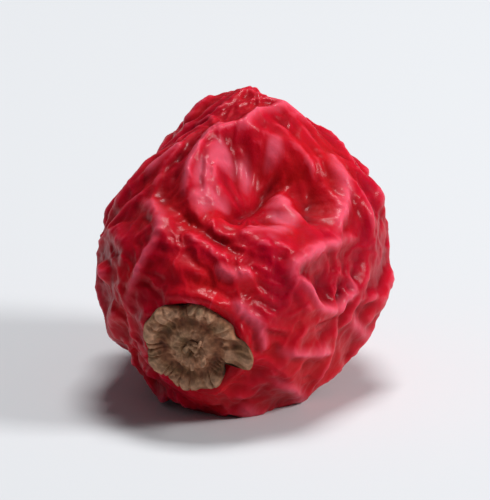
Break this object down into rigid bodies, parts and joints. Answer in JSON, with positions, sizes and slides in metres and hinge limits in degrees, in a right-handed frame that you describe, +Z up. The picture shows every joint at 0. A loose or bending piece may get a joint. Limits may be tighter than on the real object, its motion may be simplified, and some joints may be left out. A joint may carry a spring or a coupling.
{
  "type": "dried barberry",
  "caption": "Single dried barberry lying on its side: wrinkled dark red skin, tan corky disc at the tip, short broken stalk stub at the other end.",
  "frame": {"origin": "on the resting surface, under the middle of the berry", "axes": "+Z up, -Y towards the tip with its corky disc, +Y towards the stalk, +X to the right of the tip"},
  "size_m": [0.007, 0.0098, 0.0069],
  "materials": {
    "dried_red_skin": "satin",
    "corky_disc": "matte",
    "dry_stalk": "matte"
  },
  "bodies": {
    "root": {"berry": "dried_red_skin", "stigma_disc": "corky_disc", "stalk_stub": "dry_stalk"}
  },
  "joints": []
}
